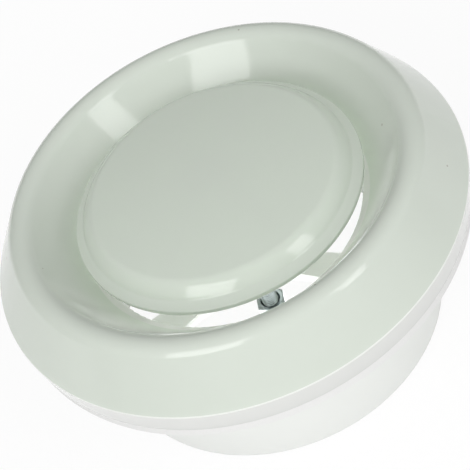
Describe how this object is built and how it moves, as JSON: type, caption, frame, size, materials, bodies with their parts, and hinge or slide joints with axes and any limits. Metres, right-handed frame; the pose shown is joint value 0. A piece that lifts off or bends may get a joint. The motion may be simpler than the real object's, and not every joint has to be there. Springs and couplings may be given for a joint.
{
  "type": "air outlet valve",
  "caption": "Round plastic air outlet valve with a domed disc on a threaded spindle, a hollow ring face and a short spigot that goes into a duct.",
  "frame": {"origin": "on the valve's axis, in the plane of the wall or ceiling that the gasket seals against", "axes": "+Z along the valve's axis, out of the face into the room; -Z runs into the duct; +Y along one arm of the spider"},
  "size_m": [0.165, 0.165, 0.077],
  "materials": {
    "face_plastic": "glossy moulded plastic, white with a slight green-grey cast",
    "collar_plastic": "satin white moulded plastic",
    "foam": "matte white closed-cell foam",
    "insert_brass": "turned brass",
    "plated_steel": "zinc-plated steel"
  },
  "bodies": {
    "collar": {"mounting_collar": "collar_plastic", "flange_gasket": "foam"},
    "valve_head": {"front_ring": "face_plastic", "spider": "collar_plastic", "hub_insert": "insert_brass"},
    "spindle": {"spindle": "plated_steel"},
    "disc": {"disc": "face_plastic", "disc_insert": "insert_brass", "end_nut": "plated_steel"}
  },
  "joints": [
    {"name": "bayonet_turn", "type": "hinge", "parent": "collar", "child": "valve_head", "pos_m": [0, 0, 0], "axis": [0, 0, 1], "range_deg": [0, 20]},
    {"name": "disc_travel", "type": "slide", "parent": "valve_head", "child": "spindle", "axis": [0, 0, 1], "range_m": [-0.0075, 0.012]},
    {"name": "disc_turn", "type": "hinge", "parent": "spindle", "child": "disc", "pos_m": [0, 0, 0], "axis": [0, 0, 1], "range_deg": [-2700, 4320]}
  ],
  "couplings": [
    {"joint": "disc_travel", "follows": "disc_turn", "m_per_rad": 0.00015915}
  ]
}
